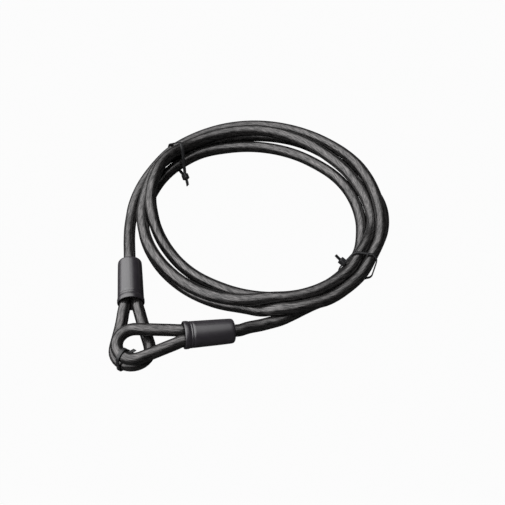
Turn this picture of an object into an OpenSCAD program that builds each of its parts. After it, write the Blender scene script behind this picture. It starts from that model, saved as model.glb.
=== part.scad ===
// Double-loop security cable for a bicycle, coiled and tied for the shelf.
// A steel wire rope in a plastic jacket is folded back into an eye at each end.
// Each fold is crimped in a twin-bore ferrule, and a moulded cover hides the ferrule.
// Origin: on the surface it lies on, under the middle of the whole. +Z up, millimetres.

/* [Cable] */
// Outer diameter of the jacketed cable
cable_d = 10; // [9.6:0.1:10]
// Diameter of the bare steel wire rope
rope_d = 7; // [5:0.1:7]

/* [Coil] */
// Radius of the middle one of the three lower turns
coil_r = 96.5; // [95:0.1:96.5]
// Height of the coil's underside, where it rests on the tie straps
coil_lift = 1.2; // [1.2:0.1:1.5]

/* [Eyes] */
// Distance from cover a's mouth to the centre of its eye's round end
eye_reach_a = 42; // [40:0.5:43]
// Distance from cover b's mouth to the centre of its eye's round end
eye_reach_b = 39; // [38.5:0.5:41]
// Radius of the eye's round end, on the cable's centreline
eye_r = 14; // [13.5:0.1:14]
// Height of the lower eye's centreline
eye_low_z = 6.3; // [6.3:0.1:6.5]
// Height of the upper eye's centreline
eye_high_z = 16.8; // [16.8:0.1:17]

/* [Covers] */
// Length of the cover over each ferrule
cover_len = 41; // [41:0.5:44]
// Radius of the cover just behind its lip
cover_r = 10.9; // [10.9:0.1:11]
// Radius of the cover at its cable end
cover_end_r = 10.1; // [9.7:0.1:10.2]
// Radius of the lip round the cover's mouth
lip_r = 11.3; // [11.2:0.1:11.3]
// Depth of the recess in the cover's mouth
mouth_depth = 5; // [5:0.5:6]

/* [Ferrules] */
// Length of the crimped ferrule
ferrule_len = 20; // [18:0.5:20]
// Wall round each bore of the ferrule
ferrule_wall = 0.6; // [0.4:0.1:0.6]

/* [Ties] */
// Width of a tie's strap
strap_w = 2.8; // [2.4:0.1:3.6]
// Thickness of a tie's strap
strap_t = 1.1; // [0.9:0.1:1.1]
// Length of the cut-off tail past the head of a tie on the coil
tail_len = 5.5; // [4:0.5:9]

/* [Hidden] */

$fn = 64;

cable_r = cable_d / 2;
rope_r = rope_d / 2;
jacket_bore_r = rope_r + 0.1;
ferrule_bore_r = rope_r + 0.05;
leg_offset = 5.05;            // half the spacing of the two legs in a cover's mouth
fit = 0.1;                    // clearance between a cover and what it holds

// The coil: three turns side by side, one more bedded between the outer two.
coil_at = [5, 24];
coil_low_z = coil_lift + cable_r;
coil_high_z = coil_low_z + cable_d * sin(60);
coil_inner_r = coil_r - cable_d;
coil_outer_r = coil_r + cable_d;

// Cable ends: mouth of the cover on the plan, its height, bearing and tilt.
mouth_a = [-99.6, -72.8];
mouth_b = [-54.9, -107.4];
mouth_a_z = 11.3;
bearing_a = -84.7;
bearing_b = 192;
tilt_a = -4;
tilt_b = 8.8;
leg_start = 1;                // where the legs start to part, past the mouth
leg_low = 20;                 // where the lower eye's legs have come down to its height

// Inside a cover, measured back from its mouth.
ferrule_back = mouth_depth + ferrule_len;
jacket_start = cover_len - 5;
collar_r = cable_r + fit;
ferrule_half = leg_offset + ferrule_bore_r + ferrule_wall;
cavity_r = ferrule_half + fit;
mouth_r = leg_offset + cable_r + 0.15;
bend_cavity_r = 8.4;

// Ties: bearing of each from the centre of what it binds.
tie_upper_at = 139;
tie_right_at = 327;
tie_eyes_at = 235;
loop_gap = 0.3;
lead_r_at_coil = coil_outer_r + cable_d + 0.3;
head_size = [5.4, 5, 4.6];
eye_tail_len = tail_len - 1.5; // the tie on the eyes is cut shorter
eye_mid = [-94.4, -115.1];    // middle between the centres of the two eyes' round ends
eye_shift = 1.4;              // how far either eye's round end stands off that middle

// Centrelines of the two straight ends of the cable, from just past the cover to the coil.
lead_a_route = [[-105.5, -12, 12.4], [-108, 4, 9.4], [-112, 24, 6.8], [-108.6, 54, 6.2],
    [-96.2, 82.6, 6.2], [-79.5, 104.7, 6.2]];
lead_b_route = [[8, -98, 7], [26, -94.6, 6.2], [45, -86.8, 6.2], [63.8, -77.4, 6.2],
    [80.6, -66.2, 6.2], [93.6, -52.2, 6.2], [104.1, -37.9, 6.2]];
tube_sides = 12;
rings_per_span = 2;
arc_rings = 12;

// ---- Sweeps ----

// A point between p[1] and p[2] on a smooth curve through four points.
function smooth_point(p, t) =
    0.5 * (2 * p[1] + (p[2] - p[0]) * t
        + (2 * p[0] - 5 * p[1] + 4 * p[2] - p[3]) * t * t
        + (3 * p[1] - p[0] - 3 * p[2] + p[3]) * t * t * t);

// The smooth curve through a whole route.
function smooth_route(route) = let (last = len(route) - 1) [
    for (i = [0 : last - 1])
        for (k = [0 : rings_per_span - 1])
            smooth_point([route[max(i - 1, 0)], route[i], route[i + 1],
                route[min(i + 2, last)]], k / rings_per_span),
    route[last]
];

function unit(v) = v / norm(v);

// Direction of a curve at one of its points.
function heading(curve, i) = let (last = len(curve) - 1)
    unit(unit(curve[min(i + 1, last)] - curve[min(i, last - 1)])
        + unit(curve[max(i, 1)] - curve[max(i - 1, 0)]));

// One ring of a tube, square to its heading.
function ring_points(centre, along, radius) =
    let (side = unit(cross(along, [0, 0, 1])), rise = cross(side, along))
    [for (k = [0 : tube_sides - 1])
        let (a = k * 360 / tube_sides)
        centre + radius * (cos(a) * side + sin(a) * rise)];

function tube_points(curve, radius) =
    [for (i = [0 : len(curve) - 1]) each ring_points(curve[i], heading(curve, i), radius)];

// The wall of a tube whose first point is number base.
function tube_wall(rings, base) =
    [for (i = [0 : rings - 2])
        for (k = [0 : tube_sides - 1])
            let (a = base + i * tube_sides + k, b = base + i * tube_sides + (k + 1) % tube_sides)
            [a, b, b + tube_sides, a + tube_sides]];

function turned_over(faces) = [for (f = faces) [f[3], f[2], f[1], f[0]]];

// A solid tube along a curve.
module swept_tube(curve, radius) {
    rings = len(curve);
    first_cap = [for (k = [tube_sides - 1 : -1 : 0]) k];
    last_cap = [for (k = [0 : tube_sides - 1]) (rings - 1) * tube_sides + k];
    polyhedron(tube_points(curve, radius), concat([first_cap], tube_wall(rings, 0), [last_cap]),
        convexity = 10);
}

// A hollow tube along a curve, open at both ends.
module swept_sleeve(curve, radius, bore) {
    rings = len(curve);
    inner = rings * tube_sides;
    last = (rings - 1) * tube_sides;
    ends = [for (k = [0 : tube_sides - 1])
        let (n = (k + 1) % tube_sides)
        each [[k, k + inner, n + inner, n],
            [last + n, last + n + inner, last + k + inner, last + k]]];
    polyhedron(concat(tube_points(curve, radius), tube_points(curve, bore)),
        concat(tube_wall(rings, 0), turned_over(tube_wall(rings, inner)), ends),
        convexity = 10);
}

// ---- Coil and straight ends ----

module cable_coil() {
    color("#202022")
        translate([coil_at[0], coil_at[1], 0])
            rotate_extrude($fn = 180) {
                for (r = [coil_inner_r, coil_r, coil_outer_r])
                    translate([r, coil_low_z])
                        circle(r = cable_r);
                translate([coil_r + cable_r, coil_high_z])
                    circle(r = cable_r);
                polygon([[coil_inner_r, coil_lift], [coil_outer_r, coil_lift],
                    [coil_outer_r, coil_low_z], [coil_r + cable_r, coil_high_z],
                    [coil_inner_r, coil_low_z]]);
            }
}

// The straight end from inside a cover's collar out to the coil.
module lead(mouth, mouth_z, bearing, tilt, route) {
    collar = [for (s = [jacket_start, jacket_start + 10])
        on_the_floor(mouth, bearing, in_cover(-s, 0, mouth_z, tilt))];
    color("#202022")
        swept_tube(smooth_route(concat(collar, route)), cable_r);
}

module lead_a() { lead(mouth_a, mouth_a_z, bearing_a, tilt_a, lead_a_route); }
module lead_b() { lead(mouth_b, eye_high_z, bearing_b, tilt_b, lead_b_route); }

// ---- Cable ends ----

// On the plan: x runs from the mouth to the eye's round end.
module end_on_plan(mouth, bearing) {
    translate([mouth[0], mouth[1], 0])
        rotate([0, 0, bearing])
            children();
}

// Tilted about the mouth, as the cover lies: x along the cover's axis.
module end_in_cover(mouth, mouth_z, bearing, tilt) {
    end_on_plan(mouth, bearing)
        translate([0, 0, mouth_z])
            rotate([0, -tilt, 0])
                children();
}

// Where the legs leave the straight line between cover and round end.
function leg_rake(reach) = asin(eye_r / norm([reach - leg_start, leg_offset]))
    - atan2(leg_offset, reach - leg_start);

// A point beside the cover's axis, s past the mouth, on the untilted plan frame.
function in_cover(s, aside, mouth_z, tilt) =
    [s * cos(tilt), aside, mouth_z + s * sin(tilt)];

// The same point turned and moved to where the cable end lies.
function on_the_floor(mouth, bearing, p) =
    [mouth[0] + p[0] * cos(bearing) - p[1] * sin(bearing),
        mouth[1] + p[0] * sin(bearing) + p[1] * cos(bearing), p[2]];

// Centre of a leg at distance s from the mouth, on side 1 or -1.
function leg_at(s, side, z, rake) = [s, side * (leg_offset + (s - leg_start) * tan(rake)), z];

// One leg, from inside the mouth out to where the round end begins.
function leg_curve(side, mouth_z, tilt, eye_z, rake, stub) = [
    in_cover(-stub, side * leg_offset, mouth_z, tilt),
    leg_at(leg_start, side, mouth_z + leg_start * sin(tilt), rake),
    leg_at(8, side, (2 * mouth_z + eye_z) / 3, rake),
    leg_at(14, side, (mouth_z + 5 * eye_z) / 6, rake),
    leg_at(leg_low, side, eye_z, rake)
];

// The whole eye: out along one leg, round, and back along the other.
function eye_curve(mouth_z, tilt, eye_z, reach, stub) =
    let (rake = leg_rake(reach), back = leg_curve(1, mouth_z, tilt, eye_z, rake, stub))
    concat(
        leg_curve(-1, mouth_z, tilt, eye_z, rake, stub),
        [for (i = [0 : arc_rings])
            let (a = (90 + rake) * (2 * i / arc_rings - 1))
            [reach + eye_r * cos(a), eye_r * sin(a), eye_z]],
        [for (i = [len(back) - 1 : -1 : 0]) back[i]]);

module eye_jacket(mouth, mouth_z, bearing, tilt, eye_z, reach) {
    color("#202022")
        end_on_plan(mouth, bearing)
            swept_sleeve(eye_curve(mouth_z, tilt, eye_z, reach, mouth_depth), cable_r,
                jacket_bore_r);
}

// The rope comes out of the jacket, bends aside into the ferrule's first bore,
// goes round the eye and ends just behind the second bore.
module wire_rope(mouth, mouth_z, bearing, tilt, eye_z, reach) {
    bend_len = jacket_start - ferrule_back;
    entry = [for (t = [0, 0.2, 0.4, 0.6, 0.8])
        in_cover(-jacket_start + t * bend_len, leg_offset * (cos(180 * t) - 1) / 2,
            mouth_z, tilt)];
    dead_end = in_cover(-ferrule_back - 2, leg_offset, mouth_z, tilt);
    color("#9a9a9c")
        end_on_plan(mouth, bearing)
            swept_tube(concat(entry, eye_curve(mouth_z, tilt, eye_z, reach, ferrule_back),
                [dead_end]), rope_r);
}

module ferrule(mouth, mouth_z, bearing, tilt) {
    outer_r = ferrule_bore_r + ferrule_wall;
    color("#b9bbbe")
        end_in_cover(mouth, mouth_z, bearing, tilt)
            translate([-ferrule_back, 0, 0])
                rotate([90, 0, 90])
                    linear_extrude(ferrule_len)
                        difference() {
                            union() {
                                for (side = [-1, 1])
                                    translate([side * leg_offset, 0])
                                        circle(r = outer_r);
                                square([2 * leg_offset, 2 * outer_r], center = true);
                            }
                            for (side = [-1, 1])
                                translate([side * leg_offset, 0])
                                    circle(r = ferrule_bore_r);
                        }
}

module cover(mouth, mouth_z, bearing, tilt) {
    lip_len = 3.5;
    color("#3a383c")
        end_in_cover(mouth, mouth_z, bearing, tilt)
            rotate([0, 90, 0])
                rotate_extrude($fn = 96)
                    polygon([
                        [collar_r, -cover_len], [cover_end_r - 2.2, -cover_len],
                        [cover_end_r - 0.7, 0.6 - cover_len], [cover_end_r, 3 - cover_len],
                        [cover_r, -lip_len - 1.5], [lip_r, -lip_len], [lip_r, -0.6],
                        [lip_r - 0.5, 0], [mouth_r, 0],
                        [mouth_r, -mouth_depth], [cavity_r, -mouth_depth],
                        [cavity_r, -ferrule_back - 1.5], [bend_cavity_r, -ferrule_back - 3],
                        [bend_cavity_r, 2 - jacket_start], [collar_r, -jacket_start]]);
}

module eye_jacket_a() {
    eye_jacket(mouth_a, mouth_a_z, bearing_a, tilt_a, eye_low_z, eye_reach_a);
}
module eye_jacket_b() {
    eye_jacket(mouth_b, eye_high_z, bearing_b, tilt_b, eye_high_z, eye_reach_b);
}
module wire_rope_a() {
    wire_rope(mouth_a, mouth_a_z, bearing_a, tilt_a, eye_low_z, eye_reach_a);
}
module wire_rope_b() {
    wire_rope(mouth_b, eye_high_z, bearing_b, tilt_b, eye_high_z, eye_reach_b);
}
module ferrule_a() { ferrule(mouth_a, mouth_a_z, bearing_a, tilt_a); }
module ferrule_b() { ferrule(mouth_b, eye_high_z, bearing_b, tilt_b); }
module cover_a() { cover(mouth_a, mouth_a_z, bearing_a, tilt_a); }
module cover_b() { cover(mouth_b, eye_high_z, bearing_b, tilt_b); }

// ---- Ties ----

// A rectangle with round corners, its lower left corner at the origin.
module round_rect(size, r) {
    translate([r, 0])
        square([size[0] - 2 * r, size[1]]);
    translate([0, r])
        square([size[0], size[1] - 2 * r]);
    for (x = [r, size[0] - r])
        for (y = [r, size[1] - r])
            translate([x, y])
                circle(r = r);
}

// A closed tie: its strap round a bundle from radius r0 to r1 and up to height top.
// The head sits on the bundle's inner side, and the cut tail stands out of the head.
module tie(centre, bearing, r0, r1, top, tail, tail_drop) {
    inner = [r1 - r0 + 2 * loop_gap, top - strap_t + loop_gap];
    corner = 4.5;
    head_z = top * 0.55;
    color("#161617")
        translate([centre[0], centre[1], 0])
            rotate([0, 0, bearing])
                translate([r0 - loop_gap, 0, 0]) {
                    translate([0, strap_w / 2, strap_t])
                        rotate([90, 0, 0])
                            linear_extrude(strap_w)
                                difference() {
                                    translate([-strap_t, -strap_t])
                                        round_rect(inner + [2 * strap_t, 2 * strap_t],
                                            corner + strap_t);
                                    round_rect(inner, corner);
                                }
                    translate([-head_size[0] - strap_t + 0.4, -head_size[1] / 2, head_z])
                        cube(head_size);
                    translate([-head_size[0], -strap_w / 2, head_z + head_size[2] / 2])
                        rotate([0, tail_drop, 0])
                            translate([-tail, 0, -strap_t / 2])
                                cube([tail, strap_w, strap_t]);
                }
}

module tie_upper() {
    tie(coil_at, tie_upper_at, coil_inner_r - cable_r, lead_r_at_coil + cable_r,
        coil_high_z + cable_r, tail_len, -8);
}

module tie_right() {
    tie(coil_at, tie_right_at, coil_inner_r - cable_r, lead_r_at_coil + cable_r,
        coil_high_z + cable_r, tail_len, -8);
}

module tie_eyes() {
    tie(eye_mid, tie_eyes_at, eye_r - cable_r - eye_shift, eye_r + cable_r + eye_shift,
        eye_high_z + cable_r, eye_tail_len, -20);
}

cable_coil();
lead_a();
lead_b();
eye_jacket_a();
eye_jacket_b();
wire_rope_a();
wire_rope_b();
ferrule_a();
ferrule_b();
cover_a();
cover_b();
tie_upper();
tie_right();
tie_eyes();
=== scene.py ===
"""A double-loop security cable for a bicycle, coiled and tied, lying on a pale studio floor.

Lengths in the cable's own layout are in millimetres and become metres as each mesh is made.
"""
import math

import bmesh
import bpy
import numpy as np
from mathutils import Matrix, Vector


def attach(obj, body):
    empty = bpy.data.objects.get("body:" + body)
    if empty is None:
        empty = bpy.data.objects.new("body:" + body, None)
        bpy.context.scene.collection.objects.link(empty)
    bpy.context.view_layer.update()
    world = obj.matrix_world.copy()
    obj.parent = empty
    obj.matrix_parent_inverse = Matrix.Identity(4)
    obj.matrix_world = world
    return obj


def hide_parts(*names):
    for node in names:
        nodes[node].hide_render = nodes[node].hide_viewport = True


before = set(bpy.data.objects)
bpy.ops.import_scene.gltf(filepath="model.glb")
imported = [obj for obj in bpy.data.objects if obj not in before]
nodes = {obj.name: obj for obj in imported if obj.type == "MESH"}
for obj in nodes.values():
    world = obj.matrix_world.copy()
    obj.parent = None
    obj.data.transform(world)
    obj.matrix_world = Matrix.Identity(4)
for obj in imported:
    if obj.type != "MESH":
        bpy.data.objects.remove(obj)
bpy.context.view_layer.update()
MM = 0.001

# ---------------------------------------------------------------------------
# The camera stands in front of the two ends, on the middle line, and looks down
# on the coil at 52 degrees.
# ---------------------------------------------------------------------------
camera_data = bpy.data.cameras.new("camera")
camera_data.lens = 70
camera_data.sensor_width = 36
camera = bpy.data.objects.new("camera", camera_data)
camera.location = (0, -0.5352, 0.6711)
camera.rotation_euler = (math.radians(90 - 52), 0, 0)
bpy.context.scene.collection.objects.link(camera)
bpy.context.scene.camera = camera

# ---------------------------------------------------------------------------
# The cable: a galvanised steel wire rope with a smoked black PVC jacket
# extruded over it, 10 mm thick. Each end folds back into an eye and into its
# ferrule, and all between the two is wound into three and three quarter turns.
# ---------------------------------------------------------------------------
CABLE_R = 5.0
ROPE_R = 3.45
FLOOR_GAP = 1.2
COIL_AT = (5.0, 24.0)
EYE_R = 14.0
# half the distance between the two legs side by side in a ferrule
LEG_OFFSET = 5.05
# distances behind a cover's mouth: the ferrule's front, its back, where the jacket starts again, and a
# place just past the cover
MOUTH_DEPTH = 5.0
FERRULE_BACK = 25.0
JACKET_START = 36.0
PAST_COLLAR = 46.0
# each end: where its cover's mouth is, which way its eye is, how it tilts, and how far out the eye lies
END_A = {"mouth": (-99.6, -72.8), "mouth_z": 11.3, "bearing": -84.7, "tilt": -4,
         "eye_z": 6.3, "eye_reach": 42}
END_B = {"mouth": (-54.9, -107.4), "mouth_z": 16.8, "bearing": 192, "tilt": 8.8,
         "eye_z": 16.8, "eye_reach": 39}


def end_matrix(end, tilted):
    """From a cable end's own frame, x from the cover's mouth to the eye, to where it lies."""
    turn = Matrix.Rotation(math.radians(end["bearing"]), 4, "Z")
    place = Matrix.Translation((*end["mouth"], 0))
    if not tilted:
        return place @ turn
    raise_up = Matrix.Translation((0, 0, end["mouth_z"]))
    return place @ turn @ raise_up @ Matrix.Rotation(-math.radians(end["tilt"]), 4, "Y")


def eye_points(end):
    """Centreline of one end: round the eye, then through the ferrule and out of the collar."""
    tilt, low, high = math.radians(end["tilt"]), end["eye_z"], end["mouth_z"]
    reach = end["eye_reach"]
    rake = math.asin(EYE_R / math.hypot(reach - 1, LEG_OFFSET)) - math.atan2(LEG_OFFSET, reach - 1)

    def leg(side):
        out = [(s * math.cos(tilt), side * LEG_OFFSET, high + s * math.sin(tilt))
               for s in (-MOUTH_DEPTH, -2)]
        for s, z in ((1, high), (8, (2 * high + low) / 3), (14, (high + 5 * low) / 6), (20, low),
                     (28, low)):
            out.append((s, side * (LEG_OFFSET + (s - 1) * math.tan(rake)), z))
        return out

    arc = []
    for i in range(25):
        a = (math.pi / 2 + rake) * (1 - i / 12)
        arc.append((reach + EYE_R * math.cos(a), EYE_R * math.sin(a), low))
    # from its own bore to the middle of the cover, and out of the collar
    inside = []
    for s, aside in ((9, -1), (15, -1), (21, -1), (FERRULE_BACK, -1), (28, -0.83), (30.5, -0.5),
                     (33, -0.17), (JACKET_START, 0), (41, 0), (PAST_COLLAR, 0)):
        inside.append((-s * math.cos(tilt), aside * LEG_OFFSET, high - s * math.sin(tilt)))
    local = leg(1) + arc + leg(-1)[::-1] + inside
    place = end_matrix(end, False)
    return [tuple(place @ Vector(p)) for p in local]


# The wound part as it was coiled: bearing from the coil's centre, radius, height.
TURNS = [
    # out of the long straight end, outside all the rest, then up onto the others
    [(180, 112, 5), (165, 111.5, 5), (150, 111.5, 5), (135, 113, 5), (120, 114, 5), (105, 114.5, 5),
     (90, 114, 5), (75, 112.8, 5), (60, 110.8, 6), (50, 108.3, 8), (40, 105.8, 11), (30, 105, 14),
     (20, 105, 14.5), (10, 105, 14.5), (0, 105.5, 15.5), (-10, 106.5, 16), (-20, 108, 16),
     (-28, 108, 15), (-40, 110.5, 14.5), (-50, 111, 14.5), (-60, 111, 14.5), (-66, 109.5, 15),
     (-75, 108, 15), (-80, 106, 14), (-85, 103.5, 10.5), (-90, 100.5, 6), (-95, 98.5, 5),
     (-110, 98.5, 5), (-125, 99, 5), (-140, 99.5, 5), (-155, 100, 5), (-170, 101, 5)],
    # inside, flat on the floor
    [(-190, 100, 5), (-205, 98.8, 6), (-220, 96.6, 6.8), (-235, 93.8, 6), (-250, 89.5, 5),
     (-265, 86.5, 5), (-280, 84.5, 5), (-295, 83.5, 5), (-310, 83.5, 5), (-325, 85.6, 5),
     (-340, 88, 5), (-355, 90.7, 5), (-370, 93.8, 5), (-385, 96, 5), (-400, 96.3, 5),
     (-415, 94.8, 5), (-430, 91.3, 5), (-445, 87.6, 5), (-460, 85, 5), (-475, 83.5, 5),
     (-490, 84, 5), (-510, 86, 6.5)],
    # up across the two beneath, then round on top of them
    [(-520, 88.5, 10), (-530, 91.5, 15), (-540, 94, 20.5), (-550, 95.5, 23.5), (-560, 97, 24),
     (-570, 99.5, 22.5), (-580, 100.5, 20), (-590, 100, 16.5), (-600, 100, 15), (-615, 99, 14.5),
     (-630, 98, 14.5), (-645, 95.5, 14.5), (-660, 93.5, 14), (-675, 92.5, 13), (-690, 93.5, 12.5),
     (-700, 95, 11), (-710, 97.5, 8.5), (-720, 99, 8.5), (-730, 99.5, 10), (-740, 99, 13),
     (-750, 99, 14.5), (-760, 101, 14.5), (-775, 100, 15), (-790, 98.5, 15), (-800, 97.5, 15),
     (-815, 97.5, 15), (-830, 99.5, 14.5), (-845, 100.5, 14.5), (-860, 100.5, 14.5),
     (-875, 101, 15), (-890, 101, 15)],
    # down between the others, and away to the second cover
    [(-900, 101, 15), (-910, 101, 15), (-920, 103, 13.5), (-930, 105, 13), (-940, 104.5, 10.5),
     (-950, 104, 6), (-960, 102.5, 5), (-970, 101.5, 5), (-980, 100.5, 5), (-995, 100, 5),
     (-1010, 100, 5), (-1030, 99.5, 5), (-1040, 100, 5), (-1050, 102, 5), (-1060, 106, 5),
     (-1070, 109.8, 5), (-1080, 110.7, 5), (-1090, 109.5, 5), (-1100, 106.7, 5), (-1110, 105, 5),
     (-1125, 104, 5), (-1140, 104.2, 5), (-1146, 104.3, 5), (-1150, 105.3, 5), (-1155, 107.2, 5),
     (-1160, 109.4, 5), (-1165, 111.5, 5)],
]
LEAD_A = [(-104.6, -20, 13.4), (-106.1, -6, 10.8), (-107.1, 9, 8.2)]
LEAD_B = [(7.3, -90.3, 6.8), (-3.4, -94.4, 8.5)]


def smooth_through(t, values, wanted):
    """Values on a smooth curve through the given ones, at the wanted places along it."""
    t, values, wanted = (np.asarray(x, float) for x in (t, values, wanted))
    slopes = np.gradient(values, t, axis=0)
    i = np.clip(np.searchsorted(t, wanted, side="right") - 1, 0, len(t) - 2)
    h = (t[i + 1] - t[i])[:, None]
    x = (wanted - t[i])[:, None] / h
    return (values[i] * (2 * x**3 - 3 * x**2 + 1) + values[i + 1] * (3 * x**2 - 2 * x**3)
            + h * slopes[i] * (x**3 - 2 * x**2 + x) + h * slopes[i + 1] * (x**3 - x**2))


def lengths_along(points):
    """How far along the line each of its points is."""
    return np.concatenate([[0], np.cumsum(np.linalg.norm(np.diff(points, axis=0), axis=1))])


def even_steps(points, step):
    """The same line, smoothly drawn, with its points evenly spaced."""
    along = lengths_along(points)
    return smooth_through(along, points, np.linspace(0, along[-1], round(along[-1] / step) + 1))


def settle(points, pinned, spacing, rounds=80):
    """Moves strands apart until none cuts another, as they do when the coil is pressed together."""
    count = len(points)
    index = np.arange(count)
    far_along = np.abs(index[:, None] - index[None, :]) * spacing > 3.5 * CABLE_R * 2
    moved = np.zeros_like(points)
    for _ in range(rounds):
        now = points + moved
        gap = now[:, None, :] - now[None, :, :]
        distance = np.linalg.norm(gap, axis=2) + 1e-6
        cut = np.where(far_along, np.clip(2 * CABLE_R + 0.02 - distance, 0, None), 0)
        share = np.maximum((cut > 0).sum(axis=1), 1)[:, None]
        moved += 0.5 * (gap / distance[..., None] * cut[..., None]).sum(axis=1) / share
        soft = moved.copy()
        soft[1:-1] = 0.25 * moved[:-2] + 0.5 * moved[1:-1] + 0.25 * moved[2:]
        moved = np.where(pinned[:, None], 0, soft)
        moved[:, 2] = np.maximum(moved[:, 2], CABLE_R + FLOOR_GAP - points[:, 2])
    return points + moved


STEP = 2.5
coil = [station for turn in TURNS for station in turn]
bearings = [-station[0] for station in coil]
wanted = np.arange(bearings[0], bearings[-1] + 0.1, 5)
radius_height = smooth_through(bearings, [station[1:] for station in coil], wanted)
angles = -np.radians(wanted)
wound = np.column_stack([
    COIL_AT[0] + radius_height[:, 0] * np.cos(angles),
    COIL_AT[1] + radius_height[:, 0] * np.sin(angles),
    radius_height[:, 1] + FLOOR_GAP,
])
first_end, last_end = eye_points(END_A), eye_points(END_B)[::-1]
whole = even_steps(np.array(first_end + LEAD_A + wound.tolist() + LEAD_B + last_end), STEP)
end_steps = round(lengths_along(np.array(first_end))[-1] / STEP)
pinned = np.zeros(len(whole), bool)
pinned[:end_steps] = True
pinned[-end_steps:] = True
whole = settle(whole, pinned, STEP)
whole = even_steps(whole, STEP)


def tube_mesh(name, points, radii, sides, material):
    """A closed tube with a UV map: u once round, v along it in metres."""
    points = np.asarray(points)
    tangents = np.gradient(points, axis=0)
    tangents /= np.linalg.norm(tangents, axis=1)[:, None]
    aside = np.cross(tangents, (0, 0, 1))
    aside /= np.linalg.norm(aside, axis=1)[:, None]
    upward = np.cross(aside, tangents)
    turn = 2 * np.pi * np.arange(sides) / sides
    spokes = (np.cos(turn)[None, :, None] * aside[:, None]
              + np.sin(turn)[None, :, None] * upward[:, None])
    rings = points[:, None] + np.asarray(radii)[:, None, None] * spokes
    count = len(points)
    faces = []
    for i in range(count - 1):
        for k in range(sides):
            a, b = i * sides + k, i * sides + (k + 1) % sides
            faces.append((a, b, b + sides, a + sides))
    faces.append(tuple(range(sides - 1, -1, -1)))
    faces.append(tuple((count - 1) * sides + k for k in range(sides)))
    mesh = bpy.data.meshes.new(name)
    mesh.from_pydata((rings.reshape(-1, 3) * MM).tolist(), [], faces)
    along = lengths_along(points) * MM
    uv = mesh.uv_layers.new(name="round_and_along")
    for face in mesh.polygons:
        ring, side = divmod(face.index, sides)
        for n, loop in enumerate(face.loop_indices):
            if face.index < (count - 1) * sides:
                uv.data[loop].uv = ((side + (n in (1, 2))) / sides, along[ring + (n > 1)])
        face.use_smooth = face.index < (count - 1) * sides
    mesh.materials.append(material)
    mesh.validate()
    piece = bpy.data.objects.new(name, mesh)
    bpy.context.scene.collection.objects.link(piece)
    return piece


def new_material(name):
    """A material, its node tree and its Principled shader."""
    material = bpy.data.materials.new(name)
    material.use_nodes = True
    tree = material.node_tree
    return material, tree, tree.nodes["Principled BSDF"]


def node(tree, kind, **values):
    """Adds a node. Each value goes to the input of that name, or to the node's own setting."""
    made = tree.nodes.new(kind)
    for key, value in values.items():
        if key in made.inputs.keys():
            made.inputs[key].default_value = value
        else:
            setattr(made, key, value)
    return made


def math_step(tree, operation, a, b=None, c=None):
    """One step of arithmetic; each input is a number or the output of another node."""
    made = tree.nodes.new("ShaderNodeMath")
    made.operation = operation
    for socket, value in zip(made.inputs, (a, b, c)):
        if value is None:
            continue
        if isinstance(value, (int, float)):
            socket.default_value = value
        else:
            tree.links.new(value, socket)
    return made.outputs[0]


def build_strand_group():
    """Six strands laid round a seventh, each of fine wires, from the UV map.

    Strands: the six lobes. Streaks: the wires as they catch the light. Height: both, for a bump.
    """
    group = bpy.data.node_groups.new("twisted_strands", "ShaderNodeTree")
    for name, kind, way in (("Round and along", "NodeSocketVector", "INPUT"),
                            ("Lay length", "NodeSocketFloat", "INPUT"),
                            ("Strands", "NodeSocketFloat", "OUTPUT"),
                            ("Streaks", "NodeSocketFloat", "OUTPUT"),
                            ("Height", "NodeSocketFloat", "OUTPUT")):
        group.interface.new_socket(name=name, in_out=way, socket_type=kind)
    start = group.nodes.new("NodeGroupInput")
    end = group.nodes.new("NodeGroupOutput")
    split = group.nodes.new("ShaderNodeSeparateXYZ")
    group.links.new(start.outputs["Round and along"], split.inputs[0])
    around, along = split.outputs[0], split.outputs[1]
    laid = math_step(group, "ADD", around, math_step(group, "DIVIDE", along, start.outputs["Lay length"]))
    wave = math_step(group, "SINE", math_step(group, "MULTIPLY", laid, 6 * math.pi))
    strands = math_step(group, "ABSOLUTE", wave)
    # the wires: noise on a rolled-up sheet, drawn out along the cable
    turn = math_step(group, "MULTIPLY", laid, 2 * math.pi)
    sheet = group.nodes.new("ShaderNodeCombineXYZ")
    group.links.new(math_step(group, "COSINE", turn), sheet.inputs[0])
    group.links.new(math_step(group, "SINE", turn), sheet.inputs[1])
    group.links.new(math_step(group, "MULTIPLY", along, 20.0), sheet.inputs[2])
    wires = node(group, "ShaderNodeTexNoise", Scale=8.0, Detail=3.0)
    group.links.new(sheet.outputs[0], wires.inputs["Vector"])
    streaks = group.nodes.new("ShaderNodeMapRange")
    streaks.inputs["From Min"].default_value = 0.36
    streaks.inputs["From Max"].default_value = 0.66
    group.links.new(wires.outputs["Fac"], streaks.inputs["Value"])
    height = math_step(group, "MULTIPLY_ADD", streaks.outputs["Result"], 0.5, strands)
    group.links.new(strands, end.inputs["Strands"])
    group.links.new(streaks.outputs["Result"], end.inputs["Streaks"])
    group.links.new(height, end.inputs["Height"])
    return group


twisted_strands = build_strand_group()

jacket, tree, shader = new_material("smoked_pvc")
uv = node(tree, "ShaderNodeUVMap", uv_map="round_and_along")
strands = tree.nodes.new("ShaderNodeGroup")
strands.node_tree = twisted_strands
strands.inputs["Lay length"].default_value = 0.22
tree.links.new(uv.outputs[0], strands.inputs["Round and along"])
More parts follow.
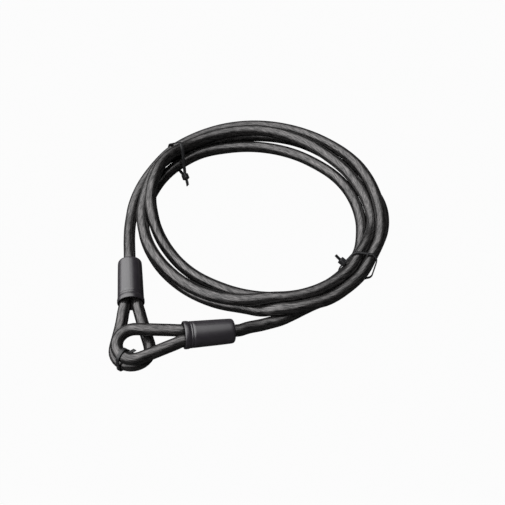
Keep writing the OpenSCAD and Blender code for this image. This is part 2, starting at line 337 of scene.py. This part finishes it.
# the steel's strands show darkly through the plastic, with painted glints along the wires where they catch
# the light, brightest on the crown of each strand
wire_glints = math_step(tree, "MULTIPLY", strands.outputs["Streaks"],
              math_step(tree, "MULTIPLY_ADD", strands.outputs["Strands"], 0.25, 0.75))
shade = node(tree, "ShaderNodeValToRGB")
shade.color_ramp.elements[0].color = (0.006, 0.006, 0.0062, 1)
shade.color_ramp.elements[0].position = 0.05
shade.color_ramp.elements[1].color = (0.100, 0.095, 0.095, 1)
shade.color_ramp.elements[1].position = 0.95
tree.links.new(wire_glints, shade.inputs[0])
tree.links.new(shade.outputs["Color"], shader.inputs["Base Color"])
tree.links.new(math_step(tree, "MULTIPLY_ADD", wire_glints, -0.12, 0.34), shader.inputs["Roughness"])
shader.inputs["Metallic"].default_value = 0.8
shader.inputs["Coat Weight"].default_value = 0.5
shader.inputs["Coat Roughness"].default_value = 0.14
relief = node(tree, "ShaderNodeBump", Strength=0.3, Distance=0.0003)
tree.links.new(strands.outputs["Height"], relief.inputs["Height"])
tree.links.new(relief.outputs["Normal"], shader.inputs["Normal"])

# The jacket is stripped where the rope goes through each ferrule.
CABLE_SIDES = 24
along = lengths_along(whole)
mouths = [lengths_along(np.array(end))[-1] - PAST_COLLAR for end in (first_end, last_end)]
radii = []
for at in along:
    behind_mouth = (at - mouths[0], along[-1] - at - mouths[1])
    bare = any(MOUTH_DEPTH + 1.5 < distance < JACKET_START - 0.5 for distance in behind_mouth)
    radii.append(ROPE_R if bare else CABLE_R)
cable = tube_mesh("cable", whole, radii, CABLE_SIDES, jacket)
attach(cable, "root")
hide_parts("cable_coil", "lead_a", "lead_b", "eye_jacket_a", "eye_jacket_b")

# ---------------------------------------------------------------------------
# The wire rope, bare only inside the covers: galvanised steel, seven strands,
# folded back on itself through its ferrule.
# ---------------------------------------------------------------------------
steel, tree, shader = new_material("galvanised_rope")
place = node(tree, "ShaderNodeTexCoord")
strand_wave = node(tree, "ShaderNodeTexWave", Scale=260.0, Distortion=1.5, bands_direction="DIAGONAL")
tree.links.new(place.outputs["Object"], strand_wave.inputs["Vector"])
tint = node(tree, "ShaderNodeValToRGB")
tint.color_ramp.elements[0].color = (0.16, 0.16, 0.165, 1)
tint.color_ramp.elements[1].color = (0.56, 0.56, 0.57, 1)
tree.links.new(strand_wave.outputs["Fac"], tint.inputs[0])
tree.links.new(tint.outputs["Color"], shader.inputs["Base Color"])
shader.inputs["Metallic"].default_value = 0.9
shader.inputs["Roughness"].default_value = 0.38
relief = node(tree, "ShaderNodeBump", Strength=0.6, Distance=0.0004)
tree.links.new(strand_wave.outputs["Fac"], relief.inputs["Height"])
tree.links.new(relief.outputs["Normal"], shader.inputs["Normal"])
for name in ("wire_rope_a", "wire_rope_b"):
    nodes[name].data.materials.clear()
    nodes[name].data.materials.append(steel)

# ---------------------------------------------------------------------------
# The ferrules: extruded aluminium with two bores, pressed onto the folded rope
# in a die, which leaves them satin with faint press lines.
# ---------------------------------------------------------------------------
aluminium, tree, shader = new_material("pressed_aluminium")
place = node(tree, "ShaderNodeTexCoord")
stretch = node(tree, "ShaderNodeMapping")
stretch.inputs["Scale"].default_value = (1, 1, 0.1)
grain = node(tree, "ShaderNodeTexNoise", Scale=700.0, Detail=4.0)
tree.links.new(place.outputs["Object"], stretch.inputs["Vector"])
tree.links.new(stretch.outputs[0], grain.inputs["Vector"])
tint = node(tree, "ShaderNodeValToRGB")
tint.color_ramp.elements[0].color = (0.45, 0.46, 0.47, 1)
tint.color_ramp.elements[1].color = (0.76, 0.77, 0.78, 1)
tree.links.new(grain.outputs["Fac"], tint.inputs[0])
tree.links.new(tint.outputs["Color"], shader.inputs["Base Color"])
shader.inputs["Metallic"].default_value = 1.0
tree.links.new(math_step(tree, "MULTIPLY_ADD", grain.outputs["Fac"], 0.2, 0.25), shader.inputs["Roughness"])
for name in ("ferrule_a", "ferrule_b"):
    nodes[name].data.materials.clear()
    nodes[name].data.materials.append(aluminium)

# ---------------------------------------------------------------------------
# The covers: tapered PVC sleeves, moulded with a rolled lip and two fine rings
# at the mouth, pushed over the ferrules to hide the crimp.
# ---------------------------------------------------------------------------
COVER_SIDES = 72
# distance behind the mouth, radius: up the outside, over the lip and back down the inside
COVER_PROFILE = [
    (41, 5.15), (41, 7.9), (40.85, 8.8), (40.4, 9.4), (39.7, 9.8), (38.7, 10.0), (37, 10.1), (32, 10.25),
    (26, 10.4), (20, 10.52), (14, 10.63), (9, 10.74), (7.4, 10.78), (7.15, 10.58), (6.75, 10.58),
    (6.5, 10.82), (5.7, 10.85), (5.45, 10.64), (5.05, 10.64), (4.8, 10.88), (4.0, 10.92), (3.6, 11.12),
    (3.1, 11.26), (1.2, 11.3), (0.5, 11.2), (0.1, 10.95), (0, 10.7), (0.1, 10.4), (0.5, 10.25),
    (5, 10.2), (5, 9.34), (26.5, 9.32), (28, 8.4), (34, 8.4), (36, 5.15)]


def lathe(name, profile, sides):
    """A ring extruded from one place of the profile to the next, and closed on itself. Axis Z."""
    bpy.ops.object.select_all(action="DESELECT")
    (z, r) = profile[0]
    bpy.ops.mesh.primitive_circle_add(vertices=sides, radius=r * MM, location=(0, 0, -z * MM))
    piece = bpy.context.object
    piece.name = piece.data.name = name
    bpy.ops.object.transform_apply(location=True, rotation=True, scale=True)
    bpy.ops.object.mode_set(mode="EDIT")
    bpy.ops.mesh.select_all(action="SELECT")
    for z_next, r_next in profile[1:] + profile[:1]:
        bpy.ops.mesh.extrude_edges_move(TRANSFORM_OT_translate={"value": (0, 0, (z - z_next) * MM)})
        bpy.ops.transform.resize(value=(r_next / r, r_next / r, 1), center_override=(0, 0, -z_next * MM))
        z, r = z_next, r_next
    bpy.ops.mesh.select_all(action="SELECT")
    bpy.ops.mesh.remove_doubles(threshold=1e-6)
    bpy.ops.mesh.normals_make_consistent(inside=False)
    bpy.ops.object.mode_set(mode="OBJECT")
    return piece


cover_pvc, tree, shader = new_material("moulded_pvc")
place = node(tree, "ShaderNodeTexCoord")
cloud = node(tree, "ShaderNodeTexNoise", Scale=60.0, Detail=3.0)
pores = node(tree, "ShaderNodeTexNoise", Scale=2600.0, Detail=2.0)
for texture in (cloud, pores):
    tree.links.new(place.outputs["Object"], texture.inputs["Vector"])
shade = node(tree, "ShaderNodeValToRGB")
shade.color_ramp.elements[0].color = (0.018, 0.016, 0.019, 1)
shade.color_ramp.elements[0].position = 0.3
shade.color_ramp.elements[1].color = (0.027, 0.024, 0.029, 1)
shade.color_ramp.elements[1].position = 0.75
tree.links.new(cloud.outputs["Fac"], shade.inputs[0])
tree.links.new(shade.outputs["Color"], shader.inputs["Base Color"])
dulled = math_step(tree, "MULTIPLY_ADD", cloud.outputs["Fac"], 0.12, 0.24)
tree.links.new(dulled, shader.inputs["Roughness"])
shader.inputs["Specular IOR Level"].default_value = 0.95
relief = node(tree, "ShaderNodeBump", Strength=0.25, Distance=0.0001)
tree.links.new(pores.outputs["Fac"], relief.inputs["Height"])
tree.links.new(relief.outputs["Normal"], shader.inputs["Normal"])

cover = lathe("cover_shape", COVER_PROFILE, COVER_SIDES)
# the mould's two halves leave a fine line down each side, from the rings to the rounded end
MOULD_LINE = 0.12
WIDE_R = 9
RINGS_END = 7.5
ROUND_END = 39
for vertex in cover.data.vertices:
    x, y, z = vertex.co / MM
    r = math.hypot(x, y)
    if r > WIDE_R and RINGS_END < -z < ROUND_END and abs(y) < 0.2:
        vertex.co.x *= (r + MOULD_LINE) / r
bpy.ops.object.shade_smooth_by_angle(angle=math.radians(50))
cover.data.materials.append(cover_pvc)
stand_along_x = Matrix.Rotation(math.radians(90), 4, "Y")
to_metres, to_millimetres = Matrix.Scale(MM, 4), Matrix.Scale(1 / MM, 4)
for letter, end in (("a", END_A), ("b", END_B)):
    piece = bpy.data.objects.new("cover_moulding_" + letter, cover.data.copy())
    bpy.context.scene.collection.objects.link(piece)
    piece.data.transform(to_metres @ end_matrix(end, True) @ to_millimetres @ stand_along_x)
    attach(piece, "root")
    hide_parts("cover_" + letter)
bpy.data.objects.remove(cover)

# ---------------------------------------------------------------------------
# The ties: moulded nylon, each a strap with teeth on one side drawn through
# its own head and cut off short. Two hold the coil and one holds the two eyes.
# ---------------------------------------------------------------------------
STRAP_W = 2.8
STRAP_T = 1.1
STRAP_CLEAR = 0.4
HEAD = (5.4, 5.0, 4.6)
TOOTH_PITCH = 0.9
tie_nylon, tree, shader = new_material("tie_nylon")
place = node(tree, "ShaderNodeTexCoord")
cloud = node(tree, "ShaderNodeTexNoise", Scale=400.0, Detail=3.0)
tree.links.new(place.outputs["Object"], cloud.inputs["Vector"])
shade = node(tree, "ShaderNodeValToRGB")
shade.color_ramp.elements[0].color = (0.008, 0.008, 0.009, 1)
shade.color_ramp.elements[1].color = (0.020, 0.020, 0.021, 1)
tree.links.new(cloud.outputs["Fac"], shade.inputs[0])
tree.links.new(shade.outputs["Color"], shader.inputs["Base Color"])
tree.links.new(math_step(tree, "MULTIPLY_ADD", cloud.outputs["Fac"], 0.2, 0.3), shader.inputs["Roughness"])
relief = node(tree, "ShaderNodeBump", Strength=0.2, Distance=0.0001)
tree.links.new(cloud.outputs["Fac"], relief.inputs["Height"])
tree.links.new(relief.outputs["Normal"], shader.inputs["Normal"])


def strands_at(plane, reach):
    """Outlines of the cable where it goes through a tie's plane, in that plane, a little proud."""
    inverse = np.array(plane.inverted())
    local = whole @ inverse[:3, :3].T + inverse[:3, 3]
    found = []
    for i in np.nonzero(np.diff(np.sign(local[:, 1])))[0]:
        share = local[i, 1] / (local[i, 1] - local[i + 1, 1])
        p = local[i] + share * (local[i + 1] - local[i])
        if not reach[0] < p[0] < reach[1]:
            continue
        run = (local[i + 1] - local[i]) / np.linalg.norm(local[i + 1] - local[i])
        aside = np.cross(run, (0, 0, 1))
        aside /= np.linalg.norm(aside)
        upward = np.cross(aside, run)
        for a in np.linspace(0, 2 * math.pi, 48, endpoint=False):
            rim = (CABLE_R + STRAP_CLEAR) * (math.cos(a) * aside + math.sin(a) * upward)
            rim -= rim[1] / run[1] * run
            found.append((p[0] + rim[0], p[2] + rim[2]))
    return found


def band_round(outline, count):
    """A band drawn tight round some points, as evenly spaced points of its own."""
    points = sorted(set(outline))

    def half(sequence):
        chain = []
        for p in sequence:
            while len(chain) > 1 and ((chain[-1][0] - chain[-2][0]) * (p[1] - chain[-2][1])
                                      - (chain[-1][1] - chain[-2][1]) * (p[0] - chain[-2][0])) <= 0:
                chain.pop()
            chain.append(p)
        return chain[:-1]

    ring = np.array(half(points) + half(points[::-1]))
    closed = np.vstack([ring, ring[:1]])
    along = lengths_along(closed)
    at = np.linspace(0, along[-1], count, endpoint=False)
    return np.column_stack([np.interp(at, along, closed[:, 0]), np.interp(at, along, closed[:, 1])])


def round_edges(piece, width, segments, smooth_angle):
    """Bevels a finished shape's edges by a width in millimetres, and smooths what is left between."""
    edge = piece.modifiers.new("edges", "BEVEL")
    edge.width = width * MM
    edge.segments = segments
    edge.limit_method = "ANGLE"
    bpy.ops.object.modifier_apply(modifier="edges")
    bpy.ops.object.shade_smooth_by_angle(angle=math.radians(smooth_angle))


def block(middle, size):
    """A block with only the face selected that looks out along x, in edit mode."""
    bpy.ops.object.select_all(action="DESELECT")
    bpy.ops.mesh.primitive_cube_add(size=MM, location=(middle * MM, 0, 0), scale=size)
    piece = bpy.context.object
    bpy.ops.object.transform_apply(location=True, rotation=True, scale=True)
    bpy.ops.object.mode_set(mode="EDIT")
    bpy.ops.mesh.select_mode(type="FACE")
    for face in bmesh.from_edit_mesh(piece.data).faces:
        face.select = face.normal.x > 0.9
    bmesh.update_edit_mesh(piece.data)
    return piece


def make_strap(loop):
    """The strap: a ring bent to the loop, drawn out to its width and given its thickness."""
    bpy.ops.object.select_all(action="DESELECT")
    bpy.ops.mesh.primitive_circle_add(vertices=len(loop), radius=10 * MM)
    strap = bpy.context.object
    for vertex, (out, height) in zip(strap.data.vertices, loop):
        vertex.co = (out * MM, -STRAP_W / 2 * MM, height * MM)
    bpy.ops.object.mode_set(mode="EDIT")
    bpy.ops.mesh.select_all(action="SELECT")
    bpy.ops.mesh.extrude_edges_move(TRANSFORM_OT_translate={"value": (0, STRAP_W * MM, 0)})
    bpy.ops.mesh.select_all(action="SELECT")
    bpy.ops.mesh.normals_make_consistent(inside=False)
    bpy.ops.object.mode_set(mode="OBJECT")
    middle = sum((v.co for v in strap.data.vertices), Vector()) / len(strap.data.vertices)
    face = strap.data.polygons[0]
    if (face.center - middle).dot(face.normal) < 0:
        strap.data.flip_normals()
    thick = strap.modifiers.new("thickness", "SOLIDIFY")
    thick.thickness = STRAP_T * MM
    thick.offset = 1
    bpy.ops.object.modifier_apply(modifier="thickness")
    round_edges(strap, 0.22, 2, 40)
    return strap


def make_head():
    """The head: a block with its slot let in, its corners rounded."""
    head = block(HEAD[0] / 2 - 0.3, HEAD)
    bpy.ops.mesh.inset(thickness=0.9 * MM)
    bpy.ops.mesh.extrude_region_move(TRANSFORM_OT_translate={"value": (-1.4 * MM, 0, 0)})
    bpy.ops.object.mode_set(mode="OBJECT")
    round_edges(head, 0.45, 3, 40)
    return head


def make_tail(tail_len, tail_turn):
    """The tail: a stub with teeth, extruded pitch by pitch and bending a little aside."""
    root, start = HEAD[0] * 0.4, 0.3
    tail = block(root, (2 * start, STRAP_W, STRAP_T))
    tip, swing = root + start, 0.0
    teeth = round((tail_len + HEAD[0] - root) / TOOTH_PITCH)
    for tooth in range(teeth):
        for share, thickness in ((0.55, 1.0 if tooth == 0 else 1 / 0.72), (0.45, 0.72)):
            step = TOOTH_PITCH * share
            aside = step * math.tan(math.radians(tail_turn)) * (tooth / teeth)
            tip += step
            swing += aside
            bpy.ops.mesh.extrude_region_move(TRANSFORM_OT_translate={"value": (step * MM, aside * MM, 0)})
            bpy.ops.transform.resize(value=(1, 1, thickness), center_override=(tip * MM, swing * MM, 0))
    bpy.ops.object.mode_set(mode="OBJECT")
    round_edges(tail, 0.08, 1, 30)
    return tail


def seat_on(loop, head_at):
    """Stands a head on the loop's point nearest to the given one, with x square out of the loop."""
    nearest = int(np.argmin(np.linalg.norm(loop - np.array(head_at), axis=1)))
    ahead = loop[(nearest + 2) % len(loop)] - loop[nearest - 2]
    ahead /= np.linalg.norm(ahead)
    out_way = np.array([ahead[1], -ahead[0]])
    if out_way @ (loop[nearest] - loop.mean(axis=0)) < 0:
        out_way = -out_way
    seat = loop[nearest]
    return Matrix((
        (out_way[0], 0, -out_way[1], seat[0] * MM),
        (0, 1, 0, 0),
        (out_way[1], 0, out_way[0], seat[1] * MM),
        (0, 0, 0, 1)))


def make_tie(name, at, bearing, lean, reach, slack, head_at, tail_len, tail_turn, twist, stands_for):
    """A closed tie in the plane through the point at. x in that plane runs out along the bearing.

    lean: how far the loop leans along the cable, in degrees. reach: the strands that it holds, by x.
    slack: round places, as (x, height, radius), that the loop also goes round. head_at: where the
    head sits in the plane. tail_turn: how far the tail bends aside, in degrees. twist: how far the
    head has twisted the strap, in degrees.
    """
    plane = (Matrix.Translation(at) @ Matrix.Rotation(math.radians(bearing), 4, "Z")
             @ Matrix.Rotation(-math.radians(lean), 4, "X"))
    outline = strands_at(plane, reach)
    for x, height, r in slack:
        for a in np.linspace(0, 2 * math.pi, 24):
            outline.append((x + r * math.cos(a), height + r * math.sin(a)))
    lowest = (STRAP_T + 0.1 - at[2]) / math.cos(math.radians(lean))
    loop = band_round([(x, max(height, lowest)) for x, height in outline], 72)

    strap = make_strap(loop)
    head, tail = make_head(), make_tail(tail_len, tail_turn)
    seat = seat_on(loop, head_at)
    for part in (head, tail):
        part.data.transform(seat @ Matrix.Rotation(math.radians(twist), 4, "X"))
    bpy.ops.object.select_all(action="DESELECT")
    for part in (head, tail, strap):
        part.select_set(True)
    bpy.context.view_layer.objects.active = strap
    bpy.ops.object.join()
    tie = bpy.context.object
    tie.name = tie.data.name = name
    tie.data.transform(to_metres @ plane @ to_millimetres)
    for vertex in tie.data.vertices:
        vertex.co.z = max(vertex.co.z, 0.02 * MM)
    tie.data.materials.clear()
    tie.data.materials.append(tie_nylon)
    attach(tie, "root")
    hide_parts(stands_for)


make_tie("tie_on_coil_upper", at=(-60.8, 72, 6), bearing=114, lean=-15, reach=(0, 60), slack=[(5, 0, 1.5)],
         head_at=(3, 0), tail_len=5.5, tail_turn=18, twist=65, stands_for="tie_upper")
make_tie("tie_on_coil_right", at=(78.5, -34.5, 6.5), bearing=-12, lean=30, reach=(-2, 50),
         slack=[(5, 0, 1.5), (18.9, 0.5, 3.8)],
         head_at=(-1, 5), tail_len=4.5, tail_turn=-14, twist=60, stands_for="tie_right")
make_tie("tie_on_eyes", at=(-94.6, -115.2, 12), bearing=237, lean=0, reach=(2, 30), slack=[],
         head_at=(8, -3), tail_len=3.0, tail_turn=25, twist=0, stands_for="tie_eyes")

# ---------------------------------------------------------------------------
# The studio: a pale floor lit from behind, a soft light high up on the left,
# and a white tent round it all.
# ---------------------------------------------------------------------------
bpy.ops.object.select_all(action="DESELECT")
bpy.ops.mesh.primitive_plane_add(size=12, location=(0, 0, 0))
floor = bpy.context.object
floor.name = "floor"
paper, tree, shader = new_material("pale_paper")
shader.inputs["Base Color"].default_value = (0.03, 0.03, 0.03, 1)
shader.inputs["Roughness"].default_value = 0.9
shader.inputs["Specular IOR Level"].default_value = 0.1
# the paper is lit from behind for the camera and throws next to nothing up at the cable
glow = node(tree, "ShaderNodeEmission", Strength=1.0)
glow.inputs["Color"].default_value = (1, 1, 1, 1)
blend = tree.nodes.new("ShaderNodeMixShader")
rays = tree.nodes.new("ShaderNodeLightPath")
tree.links.new(math_step(tree, "MULTIPLY", rays.outputs["Is Camera Ray"], 0.97), blend.inputs[0])
tree.links.new(shader.outputs[0], blend.inputs[1])
tree.links.new(glow.outputs[0], blend.inputs[2])
tree.links.new(blend.outputs[0], tree.nodes["Material Output"].inputs["Surface"])
floor.data.materials.append(paper)


def soft_light(name, at, aim, size, power):
    data = bpy.data.lights.new(name, "AREA")
    data.shape = "RECTANGLE"
    data.size, data.size_y = size
    data.energy = power
    lamp = bpy.data.objects.new(name, data)
    lamp.location = at
    lamp.rotation_euler = (Vector(aim) - Vector(at)).to_track_quat("-Z", "Y").to_euler()
    bpy.context.scene.collection.objects.link(lamp)
    return lamp


key = soft_light("key_light", (-1.0, 0.1, 1.4), (0, 0, 0), (1.0, 1.0), 3)
# the tent is lit through its roof and far left side, and black flags stand near and to the right
world = bpy.data.worlds.new("studio")
bpy.context.scene.world = world
world.use_nodes = True
tree = world.node_tree
place = tree.nodes.new("ShaderNodeTexCoord")
toward = node(tree, "ShaderNodeVectorMath", operation="DOT_PRODUCT")
toward.inputs[1].default_value = Vector((-0.6, 0.05, 0.8)).normalized()
tree.links.new(place.outputs["Generated"], toward.inputs[0])
tent = tree.nodes.new("ShaderNodeMapRange")
tent.interpolation_type = "SMOOTHSTEP"
for limit, value in (("From Min", 0.32), ("From Max", 0.76), ("To Min", 0.02), ("To Max", 2.8)):
    tent.inputs[limit].default_value = value
tree.links.new(toward.outputs["Value"], tent.inputs["Value"])
tree.links.new(tent.outputs["Result"], tree.nodes["Background"].inputs["Strength"])
tree.nodes["Background"].inputs["Color"].default_value = (1, 1, 1, 1)
bpy.context.scene.view_settings.view_transform = "Standard"
